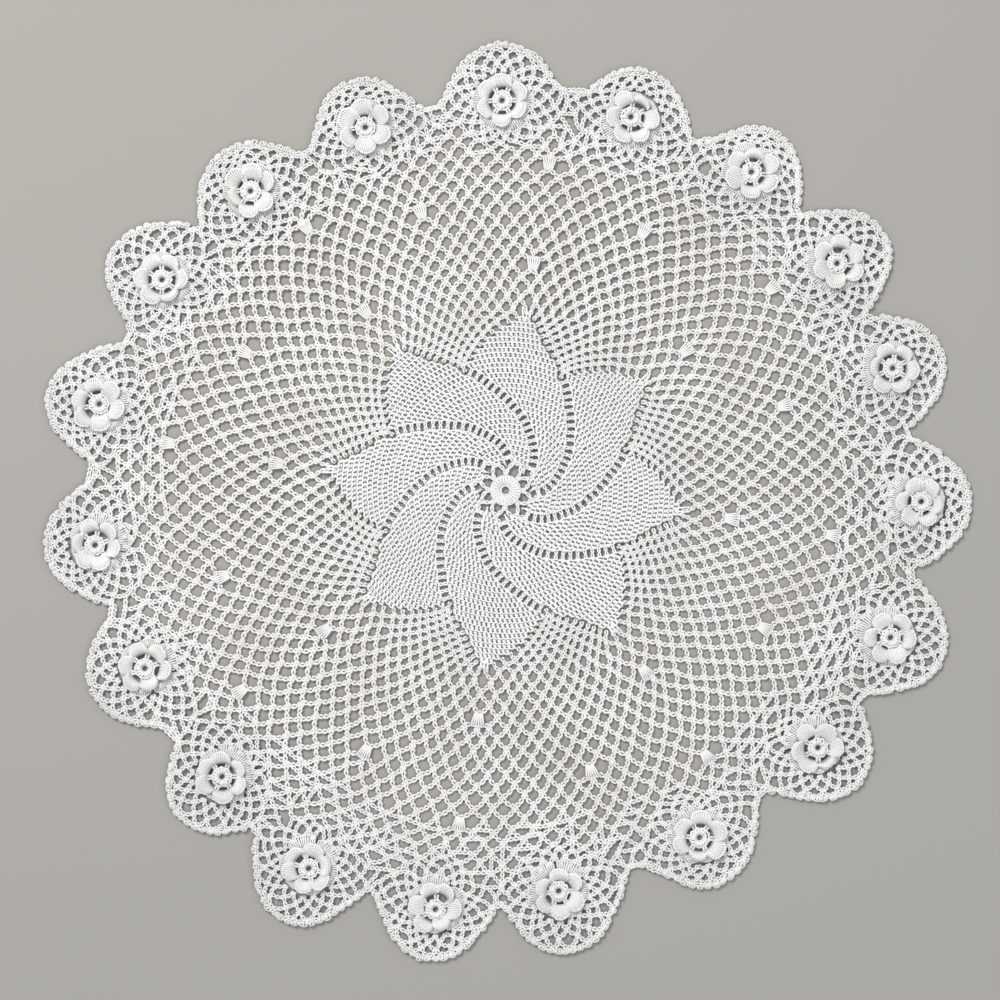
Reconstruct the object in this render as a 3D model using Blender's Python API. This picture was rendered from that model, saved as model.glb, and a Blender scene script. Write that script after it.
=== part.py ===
"""Round crocheted lace doily with a swirl centre and a border of nineteen rose medallions.

The ground is worked outwards from a ring of stitches: eight solid blades that turn like a
pinwheel, then open rounds of chain loops.  Nineteen medallions, each an Irish rose with chain
loops worked round it, are joined side by side along the last round.  The doily lies flat with
its underside on z = 0, +Y is the top of the doily and +Z faces the viewer.

The ground is one thin solid.  Each medallion is one thin solid with its rose standing up on it.
Bearings are degrees clockwise from +Y about the swirl centre, radii are measured from it.
"""
import bpy
import bmesh
from math import radians, sin, cos, pi

MM = 0.001

# ---- thicknesses and gaps
SHEET_T = 1.5 * MM        # thickness of the worked sheet
ROSE_T = 4.0 * MM         # height of the petals' crest above the underside
PIECE_GAP = 0.3 * MM      # clearance between neighbouring pieces

# ---- the ground
EYELETS = 8               # loops left open round the centre ring, one for each blade
EYELET_R = 7.6 * MM       # their distance from the swirl centre
EYELET_LONG = 1.9 * MM    # half length across the radius
EYELET_DEEP = 1.6 * MM    # half length along the radius
EYELET_BEARING = 24.0     # bearing of the first eyelet
RIM_STEPS = 8             # points of the ground's rim for each medallion

# ---- the pinwheel, whose close stitches make a thicker cloth than the net round it
BLADE_T = 1.9 * MM        # thickness of the blades
BLADE_ROOT_R = 45.7 * MM  # where neighbouring blades part
BLADE_TIP_R = 64.1 * MM   # their tips
BLADE_TIP_BEARING = 7.7   # bearing of the first tip
BLADE_ROOT_BEARING = 26.2 # bearing of the first parting, clockwise of that tip
BLADE_STEPS = 6           # points along each flank
FLANK_TRAIL = 1.75        # how hollow the short clockwise flank is
FLANK_LEAD = 1.12         # how hollow the long flank is

# ---- the medallions
NET_TO_ROSE = 16.0 * MM   # from the last round of the ground out to a rose's centre
DOME_STEPS = 10           # points along each half of a scallop
FLARE_FROM = 55.0         # turn from outwards at which a scallop's flank starts to flare, degrees
FLARE = 3.4 * MM          # how much wider the flank is beside the rose
BASE_STEPS = 5            # points along each half of a medallion's base
JOIN_GAP_W = 2.4 * MM     # half width of the open gap below each notch
JOIN_GAP_H = 5.2 * MM     # height of that gap above the ground's rim
FOOT_GAP_W = 2.3 * MM     # half width of the gap in the middle of a medallion's base
FOOT_GAP_H = 2.6 * MM     # its height

# ---- a rose: six petals round a hub ring
PETALS = 6
PETAL_STEPS = 4           # points of each ring of the rose for one petal
PETAL_TIP_R = 9.4 * MM    # outer reach of a petal
PETAL_DIP = 1.5 * MM      # how far the outline draws in between two petals
PETAL_LIP = 0.5 * MM      # slope of a petal's outer edge
PETAL_EDGE_T = 3.0 * MM   # height of a petal's outer edge
CREST_R = 5.9 * MM        # the petals' crest, which curls up towards the middle
WELL_R = 4.6 * MM         # edge of the sunk well inside the petals
WELL_T = 1.6 * MM         # height of the well's floor
HUB_R = 2.5 * MM          # outer edge of the hub ring
HUB_T = 2.4 * MM          # height of the hub ring
HUB_HOLE_R = 1.1 * MM     # dimple in the hub

# One row for each medallion.  The bearing of the rose and the distance of its centre in mm, the
# reach of the chain loops worked round the rose in mm, measured from the rose's centre to the
# anticlockwise side, outwards and to the clockwise side, the bearing and distance in mm of the
# notch between this medallion and the next one clockwise, and the turn of the first petal.
COLUMNS = ("rose_bearing", "rose_r", "left", "out", "right", "notch_bearing", "notch_r", "petal_turn")
MEDALLIONS = (
    (-0.5, 140.4, 20.5, 22.1, 21.6,   9.5, 147.2,  0),
    (18.9, 141.8, 19.3, 19.2, 20.7,  28.5, 145.4, 14),
    (37.7, 145.1, 17.2, 18.0, 19.8,  46.5, 146.9, 30),
    (55.5, 145.1, 19.8, 21.2, 19.1,  64.5, 146.9,  8),
    (72.5, 146.2, 19.1, 20.3, 20.9,  82.0, 147.6, 22),
    (91.7, 149.4, 20.9, 19.4, 21.8, 101.5, 151.2,  5),
    (111.0, 148.3, 22.6, 21.9, 20.2, 120.0, 149.8, 40),
    (129.6, 145.4, 21.6, 21.4, 20.2, 140.0, 145.4, 17),
    (150.8, 143.3, 22.3, 19.6, 19.3, 161.5, 144.9, 33),
    (172.3, 146.2, 22.4, 23.2, 20.5, 181.0, 149.8,  2),
    (189.6, 152.3, 19.5, 20.6, 20.0, 199.0, 154.1, 25),
    (207.6, 153.4, 20.2, 22.3, 20.5, 216.5, 153.0, 48),
    (224.7, 145.1, 21.9, 22.6, 20.2, 233.5, 150.6, 12),
    (243.8, 144.7, 22.3, 22.3, 22.3, 253.0, 149.0, 36),
    (262.4, 149.0, 19.8, 19.4, 21.2, 272.5, 150.5, 20),
    (281.8, 149.8, 18.4, 20.1, 20.9, 292.0, 149.2,  6),
    (301.5, 145.1, 19.0, 22.3, 22.2, 310.5, 146.9, 28),
    (319.6, 141.8, 21.2, 18.4, 19.8, 329.5, 142.9, 44),
    (338.9, 140.4, 18.9, 18.6, 19.4, 349.0, 142.6, 15),
)
N_MED = len(MEDALLIONS)

COTTON = (0.83, 0.82, 0.79, 1.0)
COTTON_ROSE = (0.87, 0.86, 0.84, 1.0)


def row(k):
    """Medallion k as a dictionary by column name, its lengths in metres."""
    r = dict(zip(COLUMNS, MEDALLIONS[k % N_MED]))
    for name in ("rose_r", "left", "out", "right", "notch_r"):
        r[name] *= MM
    return r


def at(bearing, r):
    """The flat point at a bearing and a distance from the swirl centre."""
    return (r * sin(radians(bearing)), r * cos(radians(bearing)))


def rim_r(bearing):
    """Distance of the ground's last round, smooth between the medallions' middles."""
    b = bearing % 360.0
    for k in range(N_MED):
        lo = MEDALLIONS[k][0]
        hi = MEDALLIONS[(k + 1) % N_MED][0] + (360.0 if k == N_MED - 1 else 0.0)
        for turn in (0.0, -360.0):
            if lo <= b + turn < hi:
                u = (b + turn - lo) / (hi - lo)
                s = 0.5 - 0.5 * cos(pi * u)
                a, c = row(k)["rose_r"], row(k + 1)["rose_r"]
                return a + (c - a) * s - NET_TO_ROSE
    raise ValueError(bearing)


def reach(me, turn):
    """Reach of a medallion from its rose's centre, turn degrees clockwise from outwards."""
    side = me["right"] if turn > 0.0 else me["left"]
    down = max(0.0, (abs(turn) - FLARE_FROM) / (90.0 - FLARE_FROM))
    return me["out"] + (side - me["out"]) * sin(radians(turn)) ** 2 + FLARE * down ** 1.5


def dome(k, sign, notch_b, notch_r):
    """Half of a scallop, from its tip round the rose's centre and down into a notch."""
    me = row(k)
    full = 90.0
    points = []
    while full > 20.0:
        if me["rose_r"] + reach(me, sign * full) * cos(radians(full)) >= notch_r:
            break
        full -= 1.0
    for i in range(DOME_STEPS + 1):
        turn = full * i / DOME_STEPS
        r = reach(me, sign * turn)
        across, along = r * sin(radians(turn)), me["rose_r"] + r * cos(radians(turn))
        away = sign * (notch_b - me["rose_bearing"]) - PIECE_GAP / 2.0 / along * 180.0 / pi
        away = min(away, across / along * 180.0 / pi)
        points.append(at(me["rose_bearing"] + sign * away, along))
    points.append(at(notch_b - sign * PIECE_GAP / 2.0 / notch_r * 180.0 / pi, notch_r))
    return points


def base(k, sign, notch_b):
    """Half of a medallion's foot: beside the join gap, along the ground, up into the foot gap."""
    mid = row(k)["rose_bearing"]
    r0 = rim_r(notch_b) + PIECE_GAP
    down = [at(notch_b - sign * PIECE_GAP / 2.0 / r0 * 180.0 / pi, r0 + JOIN_GAP_H)]
    start = notch_b - sign * JOIN_GAP_W / r0 * 180.0 / pi
    foot = FOOT_GAP_W / r0 * 180.0 / pi
    stop = mid + sign * foot
    for i in range(BASE_STEPS + 1):
        b = start + (stop - start) * i / BASE_STEPS
        down.append(at(b, rim_r(b) + PIECE_GAP))
    top = mid + sign * foot * 0.45
    down.append(at(top, rim_r(top) + PIECE_GAP + FOOT_GAP_H))
    return down


def scallop(k):
    """Outline of medallion k, anticlockwise seen from above, as flat points."""
    me, before = row(k), row(k - 1)
    right = me["notch_bearing"]
    left = before["notch_bearing"] - (360.0 if k == 0 else 0.0)
    dome_right = dome(k, 1.0, right, me["notch_r"])
    dome_left = dome(k, -1.0, left, before["notch_r"])
    return (dome_right[::-1] + dome_left[1:]
            + base(k, -1.0, left) + base(k, 1.0, right)[::-1])


def rose_ring(centre, bearing, radius, dip):
    """One ring of the rose: a circle that draws in by dip between the petals."""
    n = PETALS * PETAL_STEPS
    ring = []
    for i in range(n):
        a = radians(bearing) - 2.0 * pi * i / n
        lobe = abs(sin(PETALS / 2.0 * 2.0 * pi * i / n)) ** 0.8
        r = radius - dip * (1.0 - lobe)
        ring.append((centre[0] + r * sin(a), centre[1] + r * cos(a)))
    return ring


def loop_of(bm, flat, z):
    return [bm.verts.new((x, y, z)) for x, y in flat]


def edges_of(bm, loop):
    n = len(loop)
    return [bm.edges.get((loop[i], loop[(i + 1) % n])) or bm.edges.new((loop[i], loop[(i + 1) % n]))
            for i in range(n)]


def wall(bm, lower, upper):
    n = len(lower)
    for i in range(n):
        j = (i + 1) % n
        bm.faces.new((lower[i], lower[j], upper[j], upper[i]))


def cap(bm, *loops):
    """Fills the region between an outer loop and any loops inside it."""
    edges = []
    for loop in loops:
        edges += edges_of(bm, loop)
    bmesh.ops.triangle_fill(bm, use_beauty=True, use_dissolve=False, edges=edges)


def material(name, colour, roughness):
    mat = bpy.data.materials.new(name)
    mat.use_nodes = True
    bsdf = mat.node_tree.nodes["Principled BSDF"]
    bsdf.inputs["Base Color"].default_value = colour
    bsdf.inputs["Roughness"].default_value = roughness
    bsdf.inputs["Metallic"].default_value = 0.0
    return mat


def add_object(name, bm, mat, origin):
    """Closes the mesh into one outward-facing body with its own origin and adds it."""
    bmesh.ops.recalc_face_normals(bm, faces=bm.faces)
    bmesh.ops.translate(bm, verts=bm.verts, vec=(-origin[0], -origin[1], 0.0))
    mesh = bpy.data.meshes.new(name)
    bm.to_mesh(mesh)
    bm.free()
    mesh.shade_smooth()
    mesh.set_sharp_from_angle(angle=radians(35.0))
    mesh.materials.append(mat)
    ob = bpy.data.objects.new(name, mesh)
    ob.location = (origin[0], origin[1], 0.0)
    bpy.context.scene.collection.objects.link(ob)
    return ob


def ground_outline():
    points = []
    n = RIM_STEPS * N_MED
    for i in range(n):
        b = -360.0 * i / n
        points.append(at(b, rim_r(b)))
    return points


def blades_outline():
    """The star of the eight blades, anticlockwise seen from above."""
    points = []
    step = 360.0 / EYELETS
    for e in range(EYELETS):
        turn = -step * e
        tip = BLADE_TIP_BEARING + turn
        after = BLADE_ROOT_BEARING + turn
        before = after - step
        for i in range(BLADE_STEPS):
            u = i / BLADE_STEPS
            r = BLADE_ROOT_R + (BLADE_TIP_R - BLADE_ROOT_R) * u
            points.append(at(tip + (after - tip) * (1.0 - u) ** FLANK_TRAIL, r))
        for i in range(BLADE_STEPS, 0, -1):
            u = i / BLADE_STEPS
            r = BLADE_ROOT_R + (BLADE_TIP_R - BLADE_ROOT_R) * u
            points.append(at(tip + (before - tip) * (1.0 - u) ** FLANK_LEAD, r))
    return points


def make_ground(mat):
    bm = bmesh.new()
    rim = ground_outline()
    star = blades_outline()
    holes = []
    for e in range(EYELETS):
        b = EYELET_BEARING + 360.0 / EYELETS * e
        c = at(b, EYELET_R)
        t = radians(b)
        hole = []
        for i in range(12):
            a = 2.0 * pi * i / 12
            u, v = EYELET_LONG * cos(a), EYELET_DEEP * sin(a)
            hole.append((c[0] + u * cos(t) + v * sin(t), c[1] - u * sin(t) + v * cos(t)))
        holes.append(hole)
    rim_low, rim_high = loop_of(bm, rim, 0.0), loop_of(bm, rim, SHEET_T)
    star_low, star_high = loop_of(bm, star, SHEET_T), loop_of(bm, star, BLADE_T)
    low = [loop_of(bm, h, 0.0) for h in holes]
    high = [loop_of(bm, h, BLADE_T) for h in holes]
    cap(bm, rim_low, *low)
    cap(bm, rim_high, star_low)
    cap(bm, star_high, *high)
    for a, b in zip([rim_low, star_low] + low, [rim_high, star_high] + high):
        wall(bm, a, b)
    return add_object("ground", bm, mat, (0.0, 0.0))


def make_medallion(k, mat):
    me = row(k)
    centre = at(me["rose_bearing"], me["rose_r"])
    turn = me["rose_bearing"] + me["petal_turn"]
    bm = bmesh.new()
    outline = scallop(k)
    low = loop_of(bm, outline, 0.0)
    high = loop_of(bm, outline, SHEET_T)
    rings = [
        (PETAL_TIP_R, PETAL_DIP, SHEET_T),
        (PETAL_TIP_R - PETAL_LIP, PETAL_DIP, PETAL_EDGE_T),
        (CREST_R, 0.0, ROSE_T),
        (WELL_R, 0.0, WELL_T),
        (HUB_R, 0.0, HUB_T),
        (HUB_HOLE_R, 0.0, HUB_T - 0.3 * MM),
    ]
    loops = [loop_of(bm, rose_ring(centre, turn, r, dip), z) for r, dip, z in rings]
    cap(bm, low)
    cap(bm, high, loops[0])
    wall(bm, low, high)
    for a, b in zip(loops, loops[1:]):
        wall(bm, a, b)
    bm.faces.new(loops[-1])
    return add_object("medallion_%02d" % (k + 1), bm, mat, centre)


def main():
    for ob in list(bpy.data.objects):
        bpy.data.objects.remove(ob, do_unlink=True)
    # the doily's frame: an empty that sets the middle of its outline over the origin
    xs, ys = [], []
    for k in range(N_MED):
        for x, y in scallop(k):
            xs.append(x)
            ys.append(y)
    frame = bpy.data.objects.new("doily_frame", None)
    frame.location = (-(min(xs) + max(xs)) / 2.0, -(min(ys) + max(ys)) / 2.0, 0.0)
    bpy.context.scene.collection.objects.link(frame)
    pieces = [make_ground(material("cotton_ground", COTTON, 0.9))]
    for k in range(N_MED):
        pieces.append(make_medallion(k, material("cotton_medallion_%02d" % (k + 1), COTTON_ROSE, 0.9)))
    for ob in pieces:
        ob.parent = frame
    bpy.context.view_layer.update()


main()
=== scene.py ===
"""Looks of the lace doily: every round of the crochet is built from yarn.

The lengths in the tables are millimetres and the bearings are degrees clockwise from +Y about
the swirl centre.  A chain stitch is two strands that open and close along the cord, a close
stitch is a V of two legs, and the roses are rows of tall stitches stood side by side.
"""

import math
import bpy
import numpy as np
from math import radians, degrees, sin, cos, pi, hypot, atan2
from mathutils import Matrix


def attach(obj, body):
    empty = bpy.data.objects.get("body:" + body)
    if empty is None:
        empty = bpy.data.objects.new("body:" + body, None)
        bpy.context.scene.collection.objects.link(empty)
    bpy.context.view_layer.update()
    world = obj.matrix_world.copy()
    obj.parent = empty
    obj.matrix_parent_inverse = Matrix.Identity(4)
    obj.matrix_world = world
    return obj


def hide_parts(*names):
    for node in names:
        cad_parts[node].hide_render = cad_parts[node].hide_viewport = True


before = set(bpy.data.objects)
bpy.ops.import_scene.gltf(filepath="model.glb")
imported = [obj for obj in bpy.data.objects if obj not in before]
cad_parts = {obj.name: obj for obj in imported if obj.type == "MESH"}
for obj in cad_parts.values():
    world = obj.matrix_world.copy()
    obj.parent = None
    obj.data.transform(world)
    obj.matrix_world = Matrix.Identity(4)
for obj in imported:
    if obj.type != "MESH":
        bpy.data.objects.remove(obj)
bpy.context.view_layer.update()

MM = 0.001
rng = np.random.default_rng(19)

# ------------------------------------------------------------------ measured shape, as in the CAD
FLARE_FROM = 55.0
FLARE = 3.4
COLUMNS = ("rose_bearing", "rose_r", "left", "out", "right", "notch_bearing", "notch_r", "petal_turn")
MEDALLIONS = (
    (-0.5, 140.4, 20.5, 22.1, 21.6,   9.5, 147.2,  0),
    (18.9, 141.8, 19.3, 19.2, 20.7,  28.5, 145.4, 14),
    (37.7, 145.1, 17.2, 18.0, 19.8,  46.5, 146.9, 30),
    (55.5, 145.1, 19.8, 21.2, 19.1,  64.5, 146.9,  8),
    (72.5, 146.2, 19.1, 20.3, 20.9,  82.0, 147.6, 22),
    (91.7, 149.4, 20.9, 19.4, 21.8, 101.5, 151.2,  5),
    (111.0, 148.3, 22.6, 21.9, 20.2, 120.0, 149.8, 40),
    (129.6, 145.4, 21.6, 21.4, 20.2, 140.0, 145.4, 17),
    (150.8, 143.3, 22.3, 19.6, 19.3, 161.5, 144.9, 33),
    (172.3, 146.2, 22.4, 23.2, 20.5, 181.0, 149.8,  2),
    (189.6, 152.3, 19.5, 20.6, 20.0, 199.0, 154.1, 25),
    (207.6, 153.4, 20.2, 22.3, 20.5, 216.5, 153.0, 48),
    (224.7, 145.1, 21.9, 22.6, 20.2, 233.5, 150.6, 12),
    (243.8, 144.7, 22.3, 22.3, 22.3, 253.0, 149.0, 36),
    (262.4, 149.0, 19.8, 19.4, 21.2, 272.5, 150.5, 20),
    (281.8, 149.8, 18.4, 20.1, 20.9, 292.0, 149.2,  6),
    (301.5, 145.1, 19.0, 22.3, 22.2, 310.5, 146.9, 28),
    (319.6, 141.8, 21.2, 18.4, 19.8, 329.5, 142.9, 44),
    (338.9, 140.4, 18.9, 18.6, 19.4, 349.0, 142.6, 15),
)
N_MED = len(MEDALLIONS)
ROWS_BY_NAME = [dict(zip(COLUMNS, m)) for m in MEDALLIONS]

# ------------------------------------------------------------------ the pinwheel
# where the line of slots between two blades runs: distance, bearing
SLOT_LINE = ((10.7, 52.8), (13.5, 46.5), (15.8, 40.5), (18.4, 33.0), (22.6, 22.0), (26.6, 14.0), (29.4, 7.0),
             (33.8, -1.0), (37.8, -8.0), (41.8, -13.0), (45.7, -18.8))
# a blade's flanks beyond the slots: distance, bearing
FLANK_CW = ((45.7, 26.2), (50.4, 19.3), (52.4, 16.1), (56.0, 13.1), (58.8, 11.3), (61.6, 9.2), (63.9, 7.8))
FLANK_CCW = ((45.7, -18.8), (50.2, -11.9), (52.8, -8.9), (54.8, -6.4), (57.2, -2.5), (58.8, -0.1), (60.4, 2.4),
             (63.9, 7.6))
ROW = 1.84                 # height of a round of close stitches
STITCH = 1.70              # width of a close stitch
SLOT_ROUNDS = 19           # rounds from the first slot to the last
FIRST_BARS = (9.5, 12.1, 14.6, 16.6)   # tops of the first rounds, before they settle to an even height
FIRST_ROUNDS = ((9.3, 11.1), (11.1, 12.9), (12.9, 14.6))
HUB_HOLE = 1.4             # the hole in the middle ring
HUB_OUT = 5.4              # the ring's outer edge

# ------------------------------------------------------------------ the open net
WEDGE_B, BLADE_B, DRIFT = 26.2, 7.7, 0.15
WEDGES = 11                # rounds that run only between two blades
WEDGE_R = (44.7, 47.0, 48.9, 50.8, 52.8, 54.9, 57.1, 59.5, 62.1, 64.9, 68.0)   # their nodes over a wedge's middle
# level, loops in an eighth, distance over a wedge and over a blade
LEVELS = (
    (12, 11,  71.3,  68.6), (13, 11,  74.4,  72.9), (14, 11,  77.6,  77.2), (15, 11,  81.0,  81.5),
    (16, 12,  84.4,  85.5), (17, 12,  87.9,  89.2), (18, 12,  91.6,  93.4), (19, 12,  95.3,  97.8),
    (20, 12,  99.1, 102.0), (21, 12, 103.0, 106.0), (22, 13, 107.8, 109.8), (23, 13, 111.4, 113.7),
    (24, 13, 115.2, 117.6), (25, 14, 119.0, 122.4), (26, 14, 122.6, 126.0),
)
LAST = 26                  # the last whole round; four more fill the room between the medallions
TOP = 30
FAN_AT = {15: 9, 21: 3, 24: 6}         # the node that carries a fan, by level
FAN_BEARING = {15: 6.9, 21: 28.0, 24: 7.9}
FAN_DROP = {15: 1.2, 21: 0.0, 24: 0.0}
STRETCH = (-1.1, 0.4, 1.4, -1.1, 1.4, 1.4, 1.8, 3.6, 0.0, 3.6, 0.7, -1.1)   # extra reach of the last rounds, every 30 degrees

CORD = 2.02                # width of a chain
CHAIN = 2.05               # length of one chain stitch
NET_Z = 0.78               # height of the middle of a cord


def ease(u):
    return 0.5 - 0.5 * cos(pi * min(1.0, max(0.0, u)))


def along(table, x):
    return float(np.interp(x, [t[0] for t in table], [t[1] for t in table]))


def at(b, r, z=0.0):
    return np.array((r * sin(radians(b)), r * cos(radians(b)), z))


def reach(me, turn):
    side = me["right"] if turn > 0.0 else me["left"]
    down = max(0.0, (abs(turn) - FLARE_FROM) / (90.0 - FLARE_FROM))
    return me["out"] + (side - me["out"]) * sin(radians(turn)) ** 2 + FLARE * down ** 1.5


def notches(k):
    """Bearings and distances of the notches left and right of medallion k."""
    me, before = ROWS_BY_NAME[k], ROWS_BY_NAME[k - 1]
    left = before["notch_bearing"] - (360.0 if k == 0 else 0.0)
    return left, before["notch_r"], me["notch_bearing"], me["notch_r"]


def dome(k, sign):
    """Half of a scallop's outline from its tip to the notch, as in the CAD."""
    me = ROWS_BY_NAME[k]
    lb, lr, rb, rr = notches(k)
    nb, nr = (rb, rr) if sign > 0 else (lb, lr)
    full = 90.0
    while full > 20.0 and me["rose_r"] + reach(me, sign * full) * cos(radians(full)) < nr:
        full -= 1.0
    points = []
    for i in range(11):
        turn = full * i / 10
        r = reach(me, sign * turn)
        across, up = r * sin(radians(turn)), me["rose_r"] + r * cos(radians(turn))
        away = min(sign * (nb - me["rose_bearing"]) - degrees(0.15 / up), degrees(across / up))
        points.append(at(me["rose_bearing"] + sign * away, up)[:2])
    points.append(at(nb - sign * degrees(0.15 / nr), nr)[:2])
    return points


outline = np.array([p for k in range(N_MED) for sign in (1, -1) for p in dome(k, sign)])
SHIFT = -(outline.min(0) + outline.max(0)) / 2.0      # swirl centre in the row frame, mm


# ------------------------------------------------------------------ yarn
class Yarn:
    """Collects strands of yarn as closed tubes, in millimetres about the swirl centre."""

    def __init__(self, press=1.0):
        self.press = press                 # under 1, every strand is pressed flatter
        self.v, self.q, self.t, self.along, self.side, self.n = [], [], [], [], [], 0

    def strand(self, path, radius, sides=3, flat=1.0):
        p = np.asarray(path, float)
        n = len(p)
        r = np.broadcast_to(np.asarray(radius, float), (n,))
        tan = np.empty_like(p)
        tan[1:-1] = p[2:] - p[:-2]
        tan[0], tan[-1] = p[1] - p[0], p[-1] - p[-2]
        tan /= np.maximum(np.linalg.norm(tan, axis=1), 1e-9)[:, None]
        lat = np.stack([-tan[:, 1], tan[:, 0], np.zeros(n)], 1)
        m = np.linalg.norm(lat, axis=1)
        lat[m < 0.05] = (1.0, 0.0, 0.0)
        lat /= np.maximum(np.linalg.norm(lat, axis=1), 1e-9)[:, None]
        nrm = np.cross(tan, lat)
        ang = radians(90.0) + 2.0 * pi * np.arange(sides) / sides
        if sides == 4:
            ang = ang + radians(45.0)
        ring = (p[:, None, :] + r[:, None, None] * (np.cos(ang)[None, :, None] * lat[:, None, :]
                + flat * self.press * np.sin(ang)[None, :, None] * nrm[:, None, :]))
        length = np.concatenate([[0.0], np.cumsum(np.linalg.norm(np.diff(p, axis=0), axis=1))])
        base = self.n
        self.v.append(ring.reshape(-1, 3))
        self.along.append(np.repeat(length, sides))
        self.side.append(np.tile(np.cos(ang), n))
        i = np.arange(n - 1)[:, None] * sides
        k = np.arange(sides)[None, :]
        k2 = (k + 1) % sides
        self.q.append(np.stack([base + i + k, base + i + k2, base + i + sides + k2, base + i + sides + k], -1).reshape(-1, 4))
        last = base + (n - 1) * sides
        if sides == 3:
            self.t.append(np.array([[base + 2, base + 1, base], [last, last + 1, last + 2]]))
        else:
            self.q.append(np.array([[base + 3, base + 2, base + 1, base], [last, last + 1, last + 2, last + 3]])
                          if sides == 4 else np.zeros((0, 4), int))
            if sides > 4:
                fan0 = [[base, base + m + 1, base + m] for m in range(1, sides - 1)]
                fan1 = [[last, last + m, last + m + 1] for m in range(1, sides - 1)]
                self.t.append(np.array(fan0 + fan1))
        self.n += n * sides

    def chain(self, path, stitches, width=CORD, lift=0.0):
        """A cord of chain stitches along path: two strands that part a little once a stitch."""
        p = np.asarray(path, float)
        s = np.concatenate([[0.0], np.cumsum(np.linalg.norm(np.diff(p, axis=0), axis=1))])
        k = np.array([0.0, 0.38, 0.78])
        u = (np.arange(stitches)[:, None] + k[None, :]).reshape(-1)
        u = np.append(u, stitches) / stitches * s[-1]
        c = np.stack([np.interp(u, s, p[:, a]) for a in range(3)], 1)
        tan = np.gradient(c, axis=0)
        lat = np.stack([-tan[:, 1], tan[:, 0], np.zeros(len(c))], 1)
        lat /= np.maximum(np.linalg.norm(lat, axis=1), 1e-9)[:, None]
        w = width / 1.9
        off = np.append(np.tile([0.22, 0.56, 0.46], stitches), 0.22) * w
        up = np.append(np.tile([-0.14, 0.04, 0.22], stitches), -0.10) * w + lift
        rad = np.append(np.tile([0.52, 0.50, 0.58], stitches), 0.48) * w
        for sign in (-1.0, 1.0):
            q = c + lat * (off * sign)[:, None]
            q[:, 2] += up
            self.strand(q, rad, 3, 0.62)

    def count(self):
        return 2 * sum(len(q) for q in self.q) + sum(len(t) for t in self.t)

    def build(self, name, material, ripple=True):
        v = np.concatenate(self.v)
        if ripple:
            v = v.copy()
            v[:, 2] += ripple_z(v[:, 0], v[:, 1])
        v[:, 2] = np.maximum(v[:, 2], 0.02)
        v[:, :2] += SHIFT[None, :]
        v = (v * MM).astype(np.float32)
        quads = np.concatenate(self.q) if self.q else np.zeros((0, 4), int)
        tris = np.concatenate(self.t) if self.t else np.zeros((0, 3), int)
        mesh = bpy.data.meshes.new(name)
        mesh.vertices.add(len(v))
        mesh.vertices.foreach_set("co", v.ravel())
        loops = np.concatenate([quads.ravel(), tris.ravel()]).astype(np.int32)
        mesh.loops.add(len(loops))
        mesh.loops.foreach_set("vertex_index", loops)
        starts = np.concatenate([np.arange(len(quads)) * 4, len(quads) * 4 + np.arange(len(tris)) * 3]).astype(np.int32)
        mesh.polygons.add(len(starts))
        mesh.polygons.foreach_set("loop_start", starts)
        mesh.polygons.foreach_set("use_smooth", np.ones(len(starts), bool))
        mesh.update(calc_edges=True)
        for key, data in (("yarn_along", self.along), ("yarn_side", self.side)):
            a = mesh.attributes.new(key, "FLOAT", "POINT")
            a.data.foreach_set("value", np.concatenate(data).astype(np.float32))
        mesh.materials.append(material)
        mesh.validate()
        ob = bpy.data.objects.new(name, mesh)
        bpy.context.scene.collection.objects.link(ob)
        return ob


def half_area(yarn):
    """Half the surface of the strands, in square metres: what they cover when seen from above."""
    v = np.concatenate(yarn.v)
    total = 0.0
    for q in yarn.q:
        a, b, c, d = (v[q[:, i]] for i in range(4))
        total += 0.5 * np.linalg.norm(np.cross(c - a, d - b), axis=1).sum()
    for t in yarn.t:
        a, b, c = (v[t[:, i]] for i in range(3))
        total += 0.5 * np.linalg.norm(np.cross(b - a, c - a), axis=1).sum()
    return 0.5 * total * MM * MM


def ripple_z(x, y):
    """The doily doesn't lie quite flat: slow swells a fraction of a millimetre high."""
    return (0.22 + 0.13 * np.sin(x / 17.0 + 0.7 * np.sin(y / 23.0)) + 0.11 * np.sin(y / 14.0 + 1.3 + 0.6 * np.sin(x / 19.0)))


def unit(v):
    return v / max(float(np.linalg.norm(v)), 1e-9)


def hermite(a, ta, b, tb, n):
    u = np.linspace(0.0, 1.0, n)[:, None]
    return ((2 * u ** 3 - 3 * u ** 2 + 1) * a + (u ** 3 - 2 * u ** 2 + u) * ta
            + (-2 * u ** 3 + 3 * u ** 2) * b + (u ** 3 - u ** 2) * tb)


def arch(a, top, b, ua, ub, steep=0.5, round_=0.85):
    """A loop of cord from a over top to b; it leaves a and b partly along ua and ub."""
    along_ = unit(b - a)
    l1, l2 = np.linalg.norm(top - a), np.linalg.norm(b - top)
    t1 = unit((1 - steep) * unit(top - a) + steep * ua) * l1
    t2 = unit((1 - steep) * unit(b - top) - steep * ub) * l2
    first = hermite(a, t1, top, along_ * l1 * round_, 12)
    second = hermite(top, along_ * l2 * round_, b, t2, 12)
    return np.concatenate([first, second[1:]])


def path_length(p):
    return float(np.linalg.norm(np.diff(p, axis=0), axis=1).sum())


def knot(yarn, p, u, size=1.0, z=0.0):
    """The stitch that ties a round to the cord below it: two legs over the cord at p, out along u."""
    side = np.array((-u[1], u[0], 0.0))
    for sign in (-1.0, 1.0):
        a = p - u * 0.80 * size + side * sign * 0.16 * size
        m = p + side * sign * 0.34 * size
        b = p + u * 0.85 * size + side * sign * 0.52 * size
        path = np.stack([a, m, b])
        path[:, 2] = (z + 0.45, z + 1.32, z + 0.80)
        yarn.strand(path, np.array((0.34, 0.46, 0.40)) * size, 3)


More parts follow.
